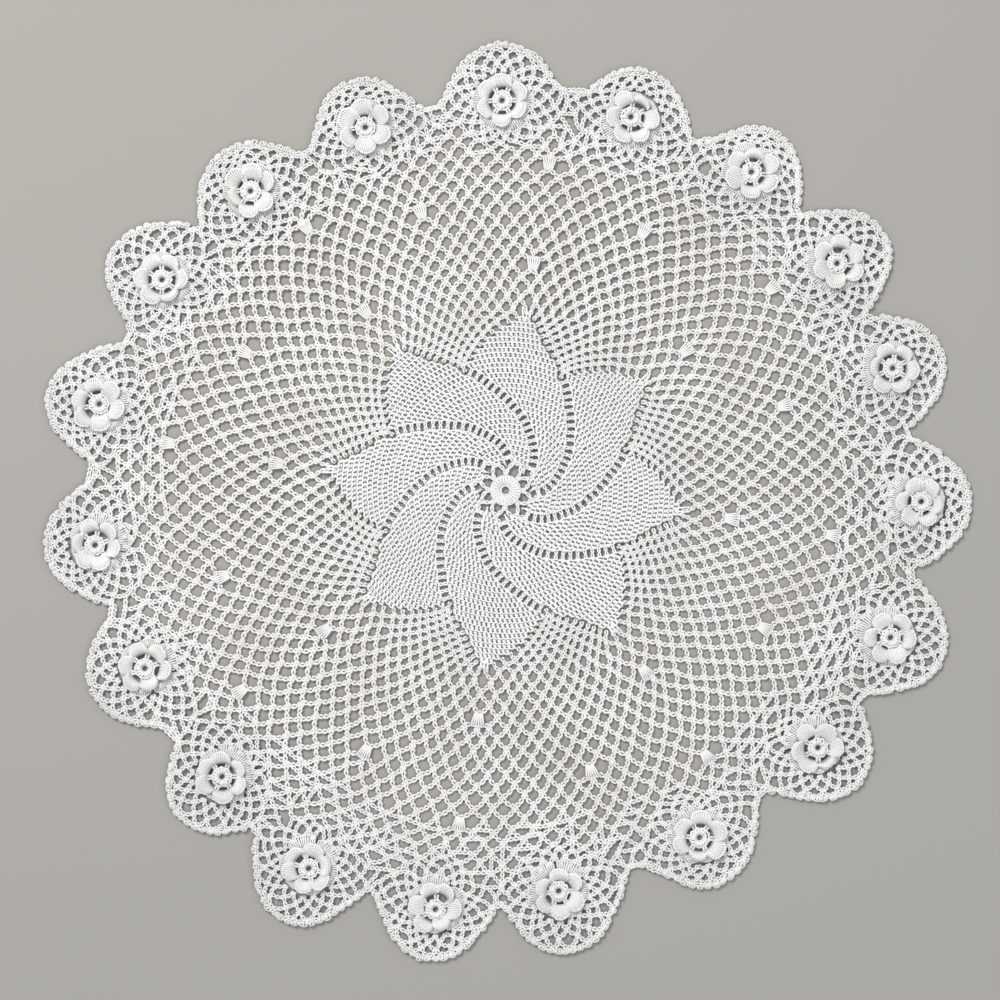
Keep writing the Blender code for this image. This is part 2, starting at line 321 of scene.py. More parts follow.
# ------------------------------------------------------------------ the net's nodes
def blend8(b, over_wedge, over_blade, drift):
    x = (b - BLADE_B - drift) % 45.0
    w = WEDGE_B - BLADE_B
    u = x / w if x < w else 1.0 + (x - w) / (45.0 - w)
    return over_blade + (over_wedge - over_blade) * (0.5 - 0.5 * cos(pi * u))


def stretch(b):
    u = (b % 360.0) / 30.0
    i = int(u)
    return STRETCH[i % 12] + (STRETCH[(i + 1) % 12] - STRETCH[i % 12]) * ease(u - i)


def level_r(j, b):
    if j > LAST:
        return level_r(LAST, b) + 3.75 * (j - LAST)
    _, n, wedge, blade = LEVELS[j - WEDGES - 1]
    return blend8(b, wedge, blade, 0.25 * (j - WEDGES - 1)) + stretch(b) * ((j - WEDGES - 1) / 14.0) ** 1.3


def flank_r(j):
    return 45.0 + ROW * (j - 1)


def build_net(rounds=260):
    """Bearings of the net's nodes in one eighth, settled like a net under even tension."""
    count = {j: j + 1 for j in range(1, WEDGES + 1)}
    count.update({j: n for j, n, _, _ in LEVELS})
    for j in range(LAST + 1, TOP + 1):
        count[j] = count[LAST]
    start = {12: 9.9, 16: 51.9, 22: 73.3, 25: 97.8}
    for j in range(13, TOP + 1):
        if j not in start:
            start[j] = start[j - 1] + 0.5 * 45.0 / count[j] + DRIFT
    b = {}
    for j in range(1, WEDGES + 1):
        lo, hi = along(FLANK_CW, flank_r(j)), along(FLANK_CCW, flank_r(j)) + 45.0
        b[j] = np.array([lo + (hi - lo) * i / j for i in range(j + 1)])
    for j in range(WEDGES + 1, TOP + 1):
        b[j] = start[j] + 45.0 / count[j] * np.arange(count[j])

    def get(j, i):
        if j <= WEDGES:
            return b[j][i]
        return b[j][i % count[j]] + 45.0 * (i // count[j])

    def apex(j, i):
        if j < WEDGES:
            return i + 1
        if j in FAN_AT:
            k = i - FAN_AT[j]
            return k + 1 + k // count[j]
        return i

    def under(j, i):
        if j <= WEDGES:
            return None if i in (0, j) else i - 1
        if j - 1 in FAN_AT:
            k, m = i % count[j], i // count[j]
            return None if k == 0 else FAN_AT[j - 1] + k - 1 + m * count[j - 1]
        return i

    for _ in range(rounds):
        for j in range(2, TOP + 1):
            n = count[j]
            for i in range(n):
                if j <= WEDGES and i in (0, j):
                    continue
                num, den = 0.0, 0.0
                for d in (-1, 1):
                    want = get(j, i + d)
                    if j in FAN_AT:
                        rel = (i - FAN_AT[j]) % n
                        if (rel == 1 and d == -1) or (rel == n - 1 and d == 1):
                            want -= d * 0.30 * 45.0 / n
                    num, den = num + 0.8 * want, den + 0.8
                k = under(j, i)
                if k is not None:
                    num, den = num + 2.0 * (0.5 * (get(j - 1, k) + get(j - 1, k + 1)) + DRIFT), den + 2.0
                elif j - 1 in FAN_AT:
                    num, den = num + 4.0 * get(j - 1, FAN_AT[j - 1] + (i // n) * count[j - 1]), den + 4.0
                if j < TOP:
                    ups = [get(j + 1, apex(j, q)) for q in (i - 1, i) if j > WEDGES or 0 <= q < j]
                    num, den = num + sum(ups) - DRIFT * len(ups), den + len(ups)
                anchor = FAN_BEARING.get(j)
                if anchor is not None and (i - FAN_AT[j]) % n == 0:
                    base = get(j, i)
                    num, den = num + 30.0 * (base + ((anchor - base + 22.5) % 45.0 - 22.5)), den + 30.0
                b[j][i] = num / den
    return count, get, apex


SECTORS = 8
NODE_COUNT, node_b8, apex_of = build_net()
wobble = {}


def node(sector, j, i):
    """Place of node i of level j, counted from the first node of the given eighth, with its own unevenness."""
    if j > WEDGES:
        n = NODE_COUNT[j]
        sector, i = (sector + i // n) % SECTORS, i % n
    key = (sector, j, i)
    if key not in wobble:
        b = node_b8(j, i) + 45.0 * sector
        if j <= WEDGES:
            t = abs(2.0 * i - j) / j
            r = WEDGE_R[j - 1] - 0.3 - (WEDGE_R[j - 1] - 0.3 - flank_r(j)) * t ** 1.4
            loose = 0.0 if i in (0, j) else 0.08 + 0.015 * j
        else:
            r = level_r(j, b) - 0.3
            loose = 0.36
            if j in FAN_AT and i == FAN_AT[j]:
                r -= FAN_DROP[j]
        d = np.clip(rng.normal(0.0, 1.0, 2) * loose, -2.0 * loose, 2.0 * loose)
        p = at(b, r, NET_Z)
        out = unit(at(b, 1.0))
        side = np.array((out[1], -out[0], 0.0))
        p = p + out * d[0] + side * d[1]
        wobble[key] = (p, out)
    return wobble[key]


def fan(yarn, p, out, height):
    """Six tall stitches that spread from one place, and the edge across their tops."""
    side = np.array((out[1], -out[0], 0.0))
    tops = []
    for q in range(6):
        f = (q - 2.5) / 2.5
        a = p + side * f * 1.20 + out * (0.1 - 0.25 * abs(f))
        m = p + side * f * 1.75 + out * height * 0.5
        b = p + side * f * 2.30 + out * (height * (1.0 - 0.06 * f * f) + rng.normal(0.0, 0.12))
        path = hermite(a, (m - a) * 1.6, b, (b - m) * 1.8, 5)
        path[:, 2] = (0.7, 1.20, 1.35, 1.25, 0.95)
        yarn.strand(path, (0.38, 0.42, 0.44, 0.44, 0.40), 4)
        tops.append(b + np.array((0, 0, 0.30)))
    yarn.chain(np.array(tops), 4, 1.35, lift=0.05)


ROSES = np.array([at(m["rose_bearing"], m["rose_r"])[:2] for m in ROWS_BY_NAME])
net = [Yarn() for _ in range(4)]        # the net, by quarter
wedges = [Yarn(0.66) for _ in range(SECTORS)]
RUNS = []                  # straight stand-ins of the outer loops, so that no joining chain crosses one
KNOTS = []                 # places where a joining chain may be worked


def room_for(j, p):
    """Whether a loop may rise to node p of level j: the last rounds stop short of the roses and of the notches."""
    if j <= LAST:
        return True
    if float(np.min(np.hypot(ROSES[:, 0] - p[0], ROSES[:, 1] - p[1]))) < 15.4:
        return False
    b = degrees(atan2(p[0], p[1])) % 360.0
    near = min(ROWS_BY_NAME, key=lambda me: abs((b - me["notch_bearing"] + 180.0) % 360.0 - 180.0))
    return hypot(p[0], p[1]) < near["notch_r"] - 9.0


def open_net():
    """Every loop of the net; returns how many, and the nodes that the medallions join."""
    made, carried, used = 0, {}, {}
    for s in range(SECTORS):
        for j in range(1, TOP):
            n = j if j <= WEDGES else NODE_COUNT[j]
            for i in range(n):
                ends = [((s + (i + d) // n) % SECTORS, (i + d) % n) if j > WEDGES else (s, i + d) for d in (0, 1)]
                if j > LAST and not all((j,) + e in carried for e in ends):
                    continue
                pa, ua = node(s, j, i)
                pb, ub = node(s, j, i + 1)
                q = apex_of(j, i)
                top, ut = node(s, j + 1, q)
                if not room_for(j + 1, top):
                    continue
                if j + 1 > WEDGES:
                    m = NODE_COUNT[j + 1]
                    carried[(j + 1, (s + q // m) % SECTORS, q % m)] = top
                for e in ends:
                    used[(j,) + e] = used.get((j,) + e, 0) + 1
                if j > LAST - 3:
                    RUNS.extend([(pa[:2], top[:2]), (top[:2], pb[:2])])
                    KNOTS.append(top)
                b = degrees(atan2(top[0], top[1])) % 360.0
                yarn = wedges[s] if j <= WEDGES else net[int(b // 90.0) % 4]
                a = pa + ua * (0.45 if j > 1 else 0.0)
                c = pb + ub * (0.45 if j > 1 else 0.0)
                if j in FAN_AT:
                    rel = (i - FAN_AT[j]) % n
                    high = 5.0 - 0.9
                    if rel == 0:
                        a = pa + ua * high + np.array((ua[1], -ua[0], 0.0)) * 2.5
                    if rel == n - 1:
                        c = pb + ub * high - np.array((ub[1], -ub[0], 0.0)) * 2.5
                p = arch(a, top, c, ua, ub, 0.5)
                p[:, 2] = NET_Z + 0.12 * np.sin(np.linspace(0, pi, len(p)))
                yarn.chain(p, max(3, int(round(path_length(p) / (CHAIN if j > WEDGES else 1.75)))), CORD if j > WEDGES else 1.76)
                made += 1
                if j > 1:
                    if j in FAN_AT and (i - FAN_AT[j]) % n == 0:
                        fan(yarn, pa, ua, 4.9)
                    elif not (j <= WEDGES and i == 0):
                        knot(yarn, pa, ua, 1.0 if j > WEDGES else 0.88)
    rim = [p for key, p in carried.items() if key[0] >= LAST and used.get(key, 0) < 2]
    return made, sorted(rim, key=lambda p: degrees(atan2(p[0], p[1])) % 360.0)


loops_built, RIM = open_net()
RIM_B = np.array([degrees(atan2(p[0], p[1])) % 360.0 for p in RIM])
RIM_R = np.array([hypot(p[0], p[1]) for p in RIM])


def net_edge(b):
    return float(np.interp(b % 360.0, np.concatenate([RIM_B - 360.0, RIM_B, RIM_B + 360.0]), np.tile(RIM_R, 3)))


# ------------------------------------------------------------------ the pinwheel of close stitches
centre = Yarn(0.42)


def bar_r(j):
    """Distance of the top of round j - 1, where round j starts."""
    if j < len(FIRST_BARS):
        return FIRST_BARS[j]
    return FIRST_BARS[-1] + ROW * (j - len(FIRST_BARS) + 1)


def slot_b(r):
    return along(SLOT_LINE, r)


def slot_tilt(r):
    """Angle between the line of slots and the radius, radians; positive when the line turns anticlockwise."""
    d = 0.8
    db = radians(slot_b(r - d) - slot_b(r + d))
    return atan2(db * r, 2 * d)


def close_stitch(yarn, b, r0, r1, width, z, lean):
    """The post of one close stitch: a plump stroke that leans anticlockwise."""
    o = at(b, 1.0)
    s = np.array((o[1], -o[0], 0.0))
    h = r1 - r0
    path = np.stack([o * (r0 + 0.12 * h) + s * lean * 0.48, o * (r0 + 0.45 * h) + s * lean * 0.05,
                     o * (r0 + 0.85 * h) - s * lean * 0.42])
    path[:, 2] = (z - 0.40, z - 0.02, z - 0.20)
    yarn.strand(path, np.array((0.61, 0.88, 0.79)) * (0.30 + 0.70 * width / STITCH), 3, 0.80)


def round_of_stitches(yarn, b0, b1, r0, r1, shift, z=1.25):
    """Close stitches side by side from bearing b0 to b1, and the beaded edge along their tops."""
    arc = radians(b1 - b0) * 0.5 * (r0 + r1)
    n = max(1, int(round(arc / STITCH)))
    w = arc / n
    tall = min(1.35, (r1 - r0) / ROW)
    path, rad = [], []
    for i in range(n):
        b = b0 + (b1 - b0) * (i + 0.5 + shift) / n
        step = (b1 - b0) / n
        jig = rng.normal(0.0, 0.05, 3)
        close_stitch(yarn, b + degrees(jig[0] / r0), r0 + jig[1], r1 + jig[1], w, z + jig[2], 1.00)
        # the two loops on top of the stitch show as one slanted bead
        lean = degrees(0.44 / r1)
        path += [at(b - 0.34 * step - lean, r1 + 0.22 + jig[1], z - 0.08), at(b + 0.20 * step - lean, r1 - 0.34 + jig[1], z + 0.20)]
        rad += [0.47 * tall, 0.78 * tall]
    if n == 1:
        path.append(at(b0 + 0.9 * (b1 - b0), r1 - 0.1, z))
        rad.append(0.35)
    yarn.strand(np.array(path), np.array(rad), 3, 0.85)
    return n


def pinwheel():
    stitches = 0
    gap = 1.50                              # half length of a slot
    for e in range(SECTORS):
        turn = 45.0 * e
        for j in range(SLOT_ROUNDS):
            # the first two slots are tall: three rounds of stitches lie beside them
            for r0, r1 in FIRST_ROUNDS if j == 0 else [] if j == 1 else [(bar_r(j), bar_r(j + 1))]:
                rm = 0.5 * (r0 + r1)
                side = gap / max(0.5, cos(slot_tilt(rm))) / rm
                b0 = slot_b(rm) - 45.0 + degrees(side)
                b1 = slot_b(rm) - degrees(side)
                stitches += round_of_stitches(centre, b0 + turn, b1 + turn, r0, r1, 0.22 * (-1) ** j)
            r0 = bar_r(j)
            if j > 0:
                # the bar of chain between two slots, square to their line
                t = slot_tilt(r0)
                c = at(slot_b(r0) + turn, r0)
                out = unit(c)
                cw = np.array((out[1], -out[0], 0.0))
                line = out * cos(t) - cw * sin(t)
                across = np.array((line[1], -line[0], 0.0))
                h = gap + 0.25
                path = np.stack([c - across * h, c - across * 0.4 * h, c + across * 0.4 * h, c + across * h])
                path[:, 2] = (0.9, 1.1, 1.1, 0.9)
                centre.chain(path, 2, 1.50)
        # the last stitch of each round, which rounds off the ends of the slots
        for hand in (-1.0, 1.0):
            hem = []
            for j in range(0, 2 * SLOT_ROUNDS):
                r = bar_r(j // 2) if j % 2 == 0 else 0.5 * (bar_r(j // 2) + bar_r(j // 2 + 1))
                t = slot_tilt(r)
                c = at(slot_b(r) + turn, r, 1.3 if j % 2 else 1.15)
                out = unit(c * (1, 1, 0))
                line = out * cos(t) - np.array((out[1], -out[0], 0.0)) * sin(t)
                across = np.array((line[1], -line[0], 0.0))
                hem.append(c + across * hand * (gap + (0.42 if j % 2 else 0.02) + rng.normal(0.0, 0.04)))
                if j == 0:
                    hem.insert(0, c - line * 0.9 + across * hand * 0.7)
            centre.strand(np.array(hem), 0.46, 3, 0.85)
        # beyond the slots: rounds that lose a stitch at each side, up to the tip
        m = 0
        while True:
            r0 = bar_r(SLOT_ROUNDS) + ROW * m
            r1 = r0 + ROW
            if r1 > 64.6:
                break
            rm = 0.5 * (r0 + r1)
            b0, b1 = along(FLANK_CCW, rm), along(FLANK_CW, rm)
            if radians(b1 - b0) * rm < 0.8:
                break
            stitches += round_of_stitches(centre, b0 + turn, b1 + turn, r0, r1, 0.22 * (-1) ** (m + 1))
            m += 1
        # the eight loops round the middle ring that carry the first stitches
        a = at(1.5 + turn, HUB_OUT - 0.2, 1.1)
        b = at(46.5 + turn, HUB_OUT - 0.2, 1.1)
        top = at(24.0 + turn + rng.normal(0.0, 1.0), 9.7 + rng.normal(0.0, 0.45), 1.2)
        path = arch(a, top, b, unit(at(1.5 + turn - 14, 1.0)), unit(at(46.5 + turn + 14, 1.0)), 0.75, 0.9)
        centre.chain(path, 5, 1.55)
        knot(centre, a, unit(a * (1, 1, 0)), 0.8, 0.2)
        # the chain that closes the hole between two loops
        lo = at(-1.5 + turn, 11.4, 1.1)
        hi = at(15.5 + turn, 11.0, 1.1)
        centre.chain(np.stack([lo, at(7.5 + turn, 12.2, 1.15), hi]), 3, 1.60)
        # the long stitches that carry the point of the blade into the net
        for x in (-1.5, 0.0, 1.5):
            foot = at(7.0 + turn + degrees(0.6 * x / 61.0), 61.4 - 0.35 * x * x, 1.2)
            head = at(6.8 + turn + degrees(x / 66.0) + rng.normal(0.0, 0.15), 66.6 + rng.normal(0.0, 0.3), 0.95)
            centre.strand(np.stack([foot, 0.5 * (foot + head) + (0, 0, 0.2), head]), (0.50, 0.46, 0.42), 4)
    # the middle ring: tall stitches worked into a small loop
    for i in range(24):
        b = 15.0 * i + 3.0
        for half in (-1.0, 1.0):
            path = np.stack([at(b + half * 2.0, HUB_HOLE), at(b + half * 2.6, 3.0),
                             at(b + half * 3.2, 4.6), at(b + half * 3.4, HUB_OUT)])
            path[:, 2] = (0.8, 1.35, 1.5, 1.05)
            centre.strand(path, (0.22, 0.30, 0.40, 0.42), 3)
    ring = np.stack([at(360.0 / 48 * i, HUB_OUT - 0.2, 1.35) for i in range(49)])
    centre.chain(ring, 24, 0.95)
    ring = np.stack([at(360.0 / 16 * i, HUB_HOLE + 0.25, 1.0) for i in range(17)])
    centre.strand(ring, 0.32, 4)
    return stitches


close_stitches = pinwheel()

# ------------------------------------------------------------------ the medallions
ROSE_R = 9.7               # where the first loops leave the rose
LOOPS = 18                 # loops in a whole round
EDGING = 3.1               # width of the edging
CUT = 1.3                  # each flank stops this far from the line between two medallions
LOOP_CORD = 2.02
LOOP_CHAIN = 1.75
SHARE = 1.555              # at most this many times the sheet's area in cord, as seen from one side


def region_area(k, lb, rb):
    """Square millimetres between the rim of a medallion's scallop and the net."""
    ring = dome(k, 1.0)[::-1] + dome(k, -1.0)[1:]
    for u in np.linspace(0.0, 1.0, 9):
        b = lb + (rb - lb) * u
        ring.append(at(b, net_edge(b))[:2])
    ring = np.array(ring)
    return abs(0.5 * float(np.sum(ring[:, 0] * np.roll(ring[:, 1], -1) - np.roll(ring[:, 0], -1) * ring[:, 1])))


class Medallion:
    """The loops round one rose: rounds of equal count, then the edging, then the joins to its neighbours."""

    def __init__(self, k):
        self.k = k
        self.me = ROWS_BY_NAME[k]
        self.lb, self.lr, self.rb, self.rr = notches(k)
        self.centre = at(self.me["rose_bearing"], self.me["rose_r"])
        self.area = region_area(k, self.lb, self.rb) - pi * 9.2 ** 2
        self.cord = LOOP_CORD
        self.out = unit(self.centre)
        self.cw = np.array((self.out[1], -self.out[0], 0.0))
        self.yarn, self.edge, self.paths = Yarn(0.66), Yarn(), []
        self.rng = np.random.default_rng(400 + k)
        self.left_a = self.angle(at(self.lb, self.lr))
        self.right_a = self.angle(at(self.rb, self.rr))
        self.grid = np.arange(-180.0, 181.0, 3.0)
        lim, gap = [], []
        for a in self.grid:
            lo, hi = 8.0, 30.0
            for _ in range(14):
                m = 0.5 * (lo + hi)
                lo, hi = (m, hi) if self.inside(a, m) else (lo, m)
            lim.append(min(lo, 28.0))
            gap.append(self.net_gap(a))
        self.lim, self.gap = np.array(lim), np.array(gap)
        self.loops = 0
        self.open = []                     # nodes that face the net or a neighbour and still have to be joined

    def ray(self, a):
        return self.out * cos(radians(a)) + self.cw * sin(radians(a))

    def angle(self, p):
        v = p - self.centre
        return degrees(atan2(float(np.dot(v[:2], self.cw[:2])), float(np.dot(v[:2], self.out[:2]))))

    def swirl(self, p):
        r = hypot(p[0], p[1])
        return (degrees(atan2(p[0], p[1])) - self.me["rose_bearing"] + 180.0) % 360.0 - 180.0, r

    def inside(self, a, rho):
        b, r = self.swirl(self.centre + self.ray(a) * rho)
        beta = self.me["rose_bearing"]
        if b > self.rb - beta or b < self.lb - beta:
            return False
        return abs(a) > 90.0 or rho <= reach(self.me, a)

    def net_gap(self, a):
        if abs(a) < 75.0:
            return 99.0
        rho = 8.0
        while rho < 40.0:
            b, r = self.swirl(self.centre + self.ray(a) * rho)
            if r < net_edge(b + self.me["rose_bearing"]):
                return rho
            rho += 0.2
        return 99.0

    def limit(self, a):
        a = (a + 180.0) % 360.0 - 180.0
        lim, gap = float(np.interp(a, self.grid, self.lim)), float(np.interp(a, self.grid, self.gap))
        notch = self.right_a if a > 0 else -self.left_a
        side = ease((abs(a) - notch + 4.0) / 10.0)
        return min(lim - EDGING + (EDGING - CUT) * side, gap - 2.3)

    def spacing(self, a):
        a = (a + 180.0) % 360.0 - 180.0
        lim = float(np.interp(a, self.grid, self.lim))
        notch = self.right_a if a > 0 else -self.left_a
        side = ease((abs(a) - notch) / 16.0)
        return min((lim - EDGING - ROSE_R) / 3.0, 3.05) * (1.0 - side) + 2.9 * side

    def loop(self, a, top, b, steep=0.62, lift=0.0):
        ua, ub = unit((a - self.centre) * (1, 1, 0)), unit((b - self.centre) * (1, 1, 0))
        p = arch(a + ua * 0.3, top, b + ub * 0.3, ua, ub, steep, 0.95)
        p[:, 2] = 0.92 + lift + 0.18 * np.sin(np.linspace(0, pi, len(p)))
        self.paths.append((p, max(3, int(round(path_length(p) / LOOP_CHAIN)))))
        RUNS.extend([(a[:2], top[:2]), (top[:2], b[:2])])
        KNOTS.append(top)
        self.loops += 1

    def rounds(self):
        jig = self.rng
        phase = jig.uniform(0.0, 360.0 / LOOPS)
        below = [self.centre + self.ray(phase + 360.0 / LOOPS * i) * ROSE_R for i in range(LOOPS)]
        for m in range(1, 8):
            above, used = [None] * LOOPS, {}
            for i in range(LOOPS):
                p, q = below[i], below[(i + 1) % LOOPS]
                if p is None or q is None:
                    continue
                a = phase + 360.0 / LOOPS * (i + 0.5 * m) + jig.normal(0.0, 1.9)
                s = self.spacing(a)
                most = self.limit(a)
                want = ROSE_R + s * m + jig.normal(0.0, 0.26)
                if want > most - 0.45 * s:
                    want = most
                before = 0.5 * (np.linalg.norm((p - self.centre)[:2]) + np.linalg.norm((q - self.centre)[:2]))
                if want - before < 0.52 * s:
                    continue
                top = self.centre + self.ray(a) * want
                self.loop(p, top, q, lift=0.03 * m)
                for e in (i, (i + 1) % LOOPS):
                    if e not in used and m > 1:
                        knot(self.yarn, below[e], unit((below[e] - self.centre) * (1, 1, 0)), 0.80, 0.05)
                    used[e] = used.get(e, 0) + 1
                above[i] = top
            if m > 1:
                for i, p in enumerate(below):
                    if p is not None and used.get(i, 0) < 2:
                        self.leave(p)
            below = above
            if not any(p is not None for p in below):
                break
        for p in below:
            if p is not None:
                self.leave(p)

    def leave(self, p):
        a = self.angle(p)
        if a > self.right_a - 3.0 or a < self.left_a + 3.0:
            self.open.append(p)

    def tie(self, p, q):
        """A short chain that joins two open nodes."""
        p, q = p * (1, 1, 0), q * (1, 1, 0)
        d = q - p
        side = np.array((-d[1], d[0], 0.0)) * self.rng.normal(0.0, 0.06)
        path = np.stack([p, p + 0.3 * d + side * 0.8, p + 0.7 * d + side, q])
        path[:, 2] = (0.9, 1.05, 1.05, 0.9)
        self.paths.append((path, max(2, int(round(path_length(path) / LOOP_CHAIN)))))
        RUNS.append((p[:2], q[:2]))

    def lay(self):
        """The loops and joins, in a cord as wide as the cloth's area allows."""
        self.sheet_area = (self.area - self.edge_length * 2.6) * MM * MM
        for _ in range(2):
            trial = Yarn(self.yarn.press)
            for p, n in self.paths:
                trial.chain(p, n, self.cord)
            self.cord = min(LOOP_CORD, self.cord * (SHARE * self.sheet_area - half_area(self.yarn)) / half_area(trial))
        for p, n in self.paths:
            self.yarn.chain(p, n, self.cord)

    def edging(self):
        """A cord along the scallop and, outside it, bumps of three plump stitches each."""
        line = np.array(dome(self.k, -1.0)[::-1] + dome(self.k, 1.0)[1:])
        s = np.concatenate([[0.0], np.cumsum(np.hypot(*np.diff(line, axis=0).T))])
        n = int(s[-1] / 0.5)
        u = np.linspace(0.0, s[-1], n + 1)
        pts = np.stack([np.interp(u, s, line[:, 0]), np.interp(u, s, line[:, 1])], 1)
        for _ in range(4):
            pts[1:-1] = 0.5 * pts[1:-1] + 0.25 * (pts[:-2] + pts[2:])
        tan = np.gradient(pts, axis=0)
        tan /= np.hypot(tan[:, 0], tan[:, 1])[:, None]
        inward = np.stack([tan[:, 1], -tan[:, 0]], 1)
        if np.dot(inward[n // 2], (self.centre[:2] - pts[n // 2])) < 0:
            inward = -inward
        cord = np.column_stack([pts + inward * 2.25, np.full(n + 1, 1.0)])
        self.edge.chain(cord, int(round(s[-1] / 1.6)), 1.75)
        self.ends = (cord[0], cord[-1])
        self.edge_length = s[-1]
        bumps = int(round(s[-1] / 3.35))
        wave = self.rng.normal(0.0, 0.30, bumps)
        for i in range(bumps):
            x = 1.6 + (i + 0.5) / bumps * (s[-1] - 3.2) + wave[i]
            c = np.array([np.interp(x, u, pts[:, 0]), np.interp(x, u, pts[:, 1])])
            w = unit(np.array([np.interp(x, u, inward[:, 0]), np.interp(x, u, inward[:, 1])]))
            t = np.array((-w[1], w[0]))
            tall = float(np.clip(self.rng.normal(0.0, 0.20), -0.40, 0.22))
            tip = self.rng.normal(0.0, 0.16)
            wide = 1.0 + self.rng.normal(0.0, 0.08)

            def spot(f, d, z):
                return np.append(c + w * d + t * f * wide, z)

            n = 3 if self.rng.random() < 0.8 else 4
            heads = []
            for q in range(n):
                f = (q - 0.5 * (n - 1)) / (0.5 * (n - 1))
                g = f + self.rng.normal(0.0, 0.07)
                d = 0.62 - tall + 0.42 * f * f + tip * f + self.rng.normal(0.0, 0.10)
                self.edge.strand([spot(0.62 * g - 0.45, 2.75, 0.95), spot(0.85 * g - 0.10, 1.75, 1.45),
                                  spot(1.08 * g + 0.15, d, 1.25)], (0.42, 0.56, 0.54), 3)
                heads.append(spot(1.15 * g + 0.15, d + 0.05, 1.15))
            heads = [spot(-1.55, 1.9, 0.85)] + heads + [spot(1.60, 1.9, 0.85)]
            self.edge.strand(heads, 0.46, 3)


def rose(yarn, k):
    """Hub ring, six raised petals and a flat second layer, all of tall stitches side by side."""
    me = ROWS_BY_NAME[k]
    r = np.random.default_rng(900 + k)
    centre = at(me["rose_bearing"], me["rose_r"])
    start = me["rose_bearing"] + me["petal_turn"]

    def spot(a, rho, z):
        return centre + np.array((rho * sin(radians(a)), rho * cos(radians(a)), z))

    # second layer, flat behind the gaps of the first, fluted; it shows most on the side of the net
    skirt = 1.1 + 0.9 * float(r.random())
    for q in range(6):
        mid = start + 60.0 * q + 30.0 + r.normal(0, 2.5)
        reach_ = 10.7 + r.normal(0, 0.35) - skirt * cos(radians(mid - me["rose_bearing"]))
        tips = []
        for i in range(13):
            x = (i - 6.0) / 6.0
            a = mid + 28.5 * x
            ro = reach_ - 1.5 * abs(x) ** 2.6 + r.normal(0, 0.10)
            flute = 0.35 * (-1) ** (i // 2)
            p = np.stack([spot(a, 6.2, 1.0), spot(a, 8.4, 1.35 + 0.5 * flute), spot(a, ro, 1.15 + 0.5 * flute)])
            yarn.strand(p, (0.36, 0.52, 0.48), 3)
            tips.append(spot(a, ro - 0.08, 1.15 + 0.5 * flute))
        yarn.strand(np.array(tips), 0.42, 3)
    # the raised petals, rounded, each a little different; here and there one is folded inwards
    folded = int(r.integers(0, 6)) if k % 3 else -1
    whole = 1.0 - 0.22 * float(r.random())
    leanx, leany = r.normal(0.0, 0.25, 2)
    for q in range(6):
        mid = start + 60.0 * q + r.normal(0, 2.5)
        lift = r.normal(0.0, 0.18)
        size = (whole + r.normal(0.0, 0.05)) * (1.0 + 0.10 * (leanx * sin(radians(mid)) + leany * cos(radians(mid))))
        twist = r.normal(0.0, 3.0)
        wide = 31.0 + r.normal(0.0, 1.5)
        cup = 3.35 + r.normal(0.0, 0.20)
        near = 4.95 if k % 4 == 0 else float(np.clip(4.75 + r.normal(0.0, 0.50), 3.7, 5.3))
        tips, n = [], 13
        for i in range(n):
            x = (i - (n - 1) / 2.0) / ((n - 1) / 2.0)
            lo, hi = mid + wide * x, mid + twist + wide * x
            # each petal laps over the one before it
            lap = 0.42 * x - 0.75 * abs(x) ** 3
            ro = 5.4 + (4.4 - 2.75 * abs(x) ** 2.3) * size + r.normal(0, 0.12)
            if q == folded:
                ro = 5.4 + 2.6 - 1.3 * abs(x) ** 2.4
            mr = 0.5 * (5.4 + ro)
            p = np.stack([spot(lo, near, 1.15 + 0.4 * (4.95 - near)), spot(lo, near + 0.6, 2.20 + 0.5 * lap + lift),
                          spot(0.5 * (lo + hi), 0.6 * mr + 0.4 * 5.6, 3.05 + 0.8 * lap + lift),
                          spot(hi, 0.45 * mr + 0.55 * ro, cup - 0.05 + lap + lift + (0.5 if q == folded else 0.0)),
                          spot(hi, ro, cup - 0.45 + lap + lift)])
            yarn.strand(p, (0.34, 0.43, 0.52, 0.60, 0.50), 3)
            tips.append(spot(hi, ro - 0.05, cup - 0.35 + lap + lift))
        yarn.strand(np.array(tips), 0.54 - 0.12 * np.abs(np.linspace(-1, 1, n)) ** 3 + 0.06 * (-1.0) ** np.arange(n), 4)
    # base loops, spokes and hub; the hub of most roses is pulled a little to one side
    shove = (0.0, 0.0, 0.0) if k % 4 == 0 else (r.normal(0.0, 0.45), r.normal(0.0, 0.45), 0.0)
    centre = centre + np.clip(shove, -0.8, 0.8)
    for q in range(6):
        a = start + 60.0 * q + 30.0 + r.normal(0, 2.0)
        thick = 0.42 + 0.22 * float(r.random())
        for half in (-1.0, 1.0):
            p = np.stack([spot(a + half * 8.0, 3.3, 1.6), spot(a + half * 6.5, 4.2, 1.75), spot(a + half * 6.0, 5.5, 1.6)])
            yarn.strand(p, (thick, thick + 0.06, thick + 0.12), 3)
    for i in range(16):
        a = start + 360.0 * i / 16
        b = r.normal(0.0, 2.0)
        p = np.stack([spot(a, 1.05, 1.2), spot(a + 5.0 + b, 2.1, 2.05 + 0.10 * b), spot(a + 12.0 + b, 3.15 + 0.08 * b, 1.75)])
        yarn.strand(p, (0.36, 0.62, 0.66), 4)
    p = np.stack([spot(start + 20.0 * i, 3.42 + 0.16 * (-1) ** i + r.normal(0.0, 0.06), 1.85) for i in range(19)])
    p[-1] = p[0]
    yarn.strand(p, 0.46 + 0.08 * (-1.0) ** np.arange(19), 4)


medallions = [Medallion(k) for k in range(N_MED)]
for m in medallions:
    m.rounds()


